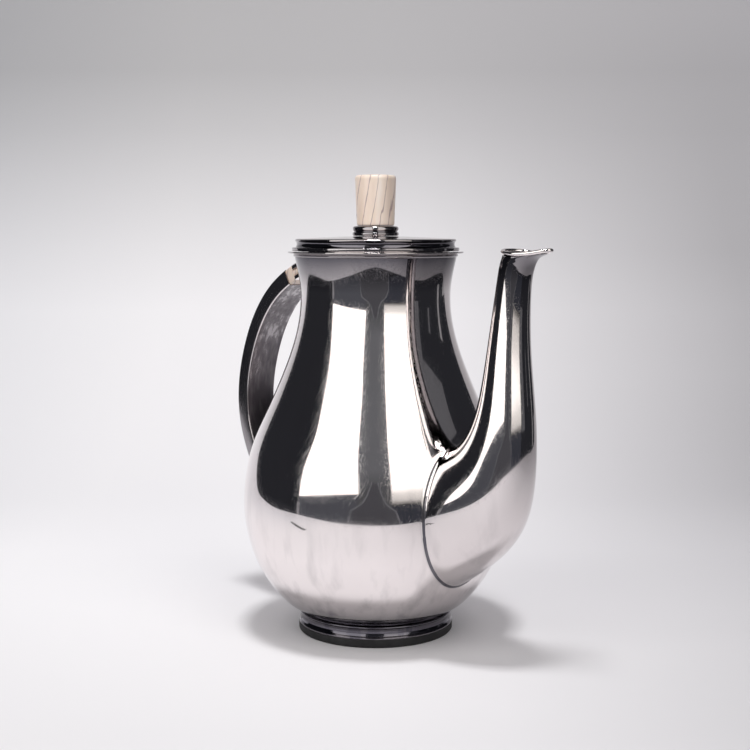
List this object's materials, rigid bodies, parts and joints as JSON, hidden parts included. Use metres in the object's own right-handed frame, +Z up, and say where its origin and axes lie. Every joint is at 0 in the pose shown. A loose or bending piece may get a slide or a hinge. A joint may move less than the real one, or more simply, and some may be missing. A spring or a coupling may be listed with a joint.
{
  "type": "coffee pot",
  "caption": "Pear-shaped polished silver coffee pot with swan-neck spout, strap handle on bone insulators and lift-off lid with bone knob.",
  "frame": {"origin": "centre of the underside, on the body's axis", "axes": "+Z up, +X towards the spout, -X towards the handle"},
  "size_m": [0.2003, 0.1226, 0.2108],
  "materials": {
    "silver": "polished",
    "bone": "satin",
    "base": "matte"
  },
  "bodies": {
    "pot": {"base_pad": "base", "foot_ring": "silver", "body_shell": "silver", "rim_mount": "silver", "spout": "silver", "spout_lip": "silver", "handle": "silver", "upper_socket": "silver", "lower_socket": "silver", "upper_handle_pin": "silver", "lower_handle_pin": "silver", "upper_socket_pin": "silver", "lower_socket_pin": "silver", "upper_insulator": "bone", "lower_insulator": "bone"},
    "lid": {"lid_cover": "silver", "lid_bezel": "silver", "knob_collar": "silver", "knob": "bone", "knob_stud": "silver", "knob_washer": "silver", "knob_nut": "silver"}
  },
  "joints": [
    {"name": "lid_lift", "type": "slide", "parent": "pot", "child": "lid", "axis": [0, 0, 1], "range_m": [0, 0.06]}
  ]
}
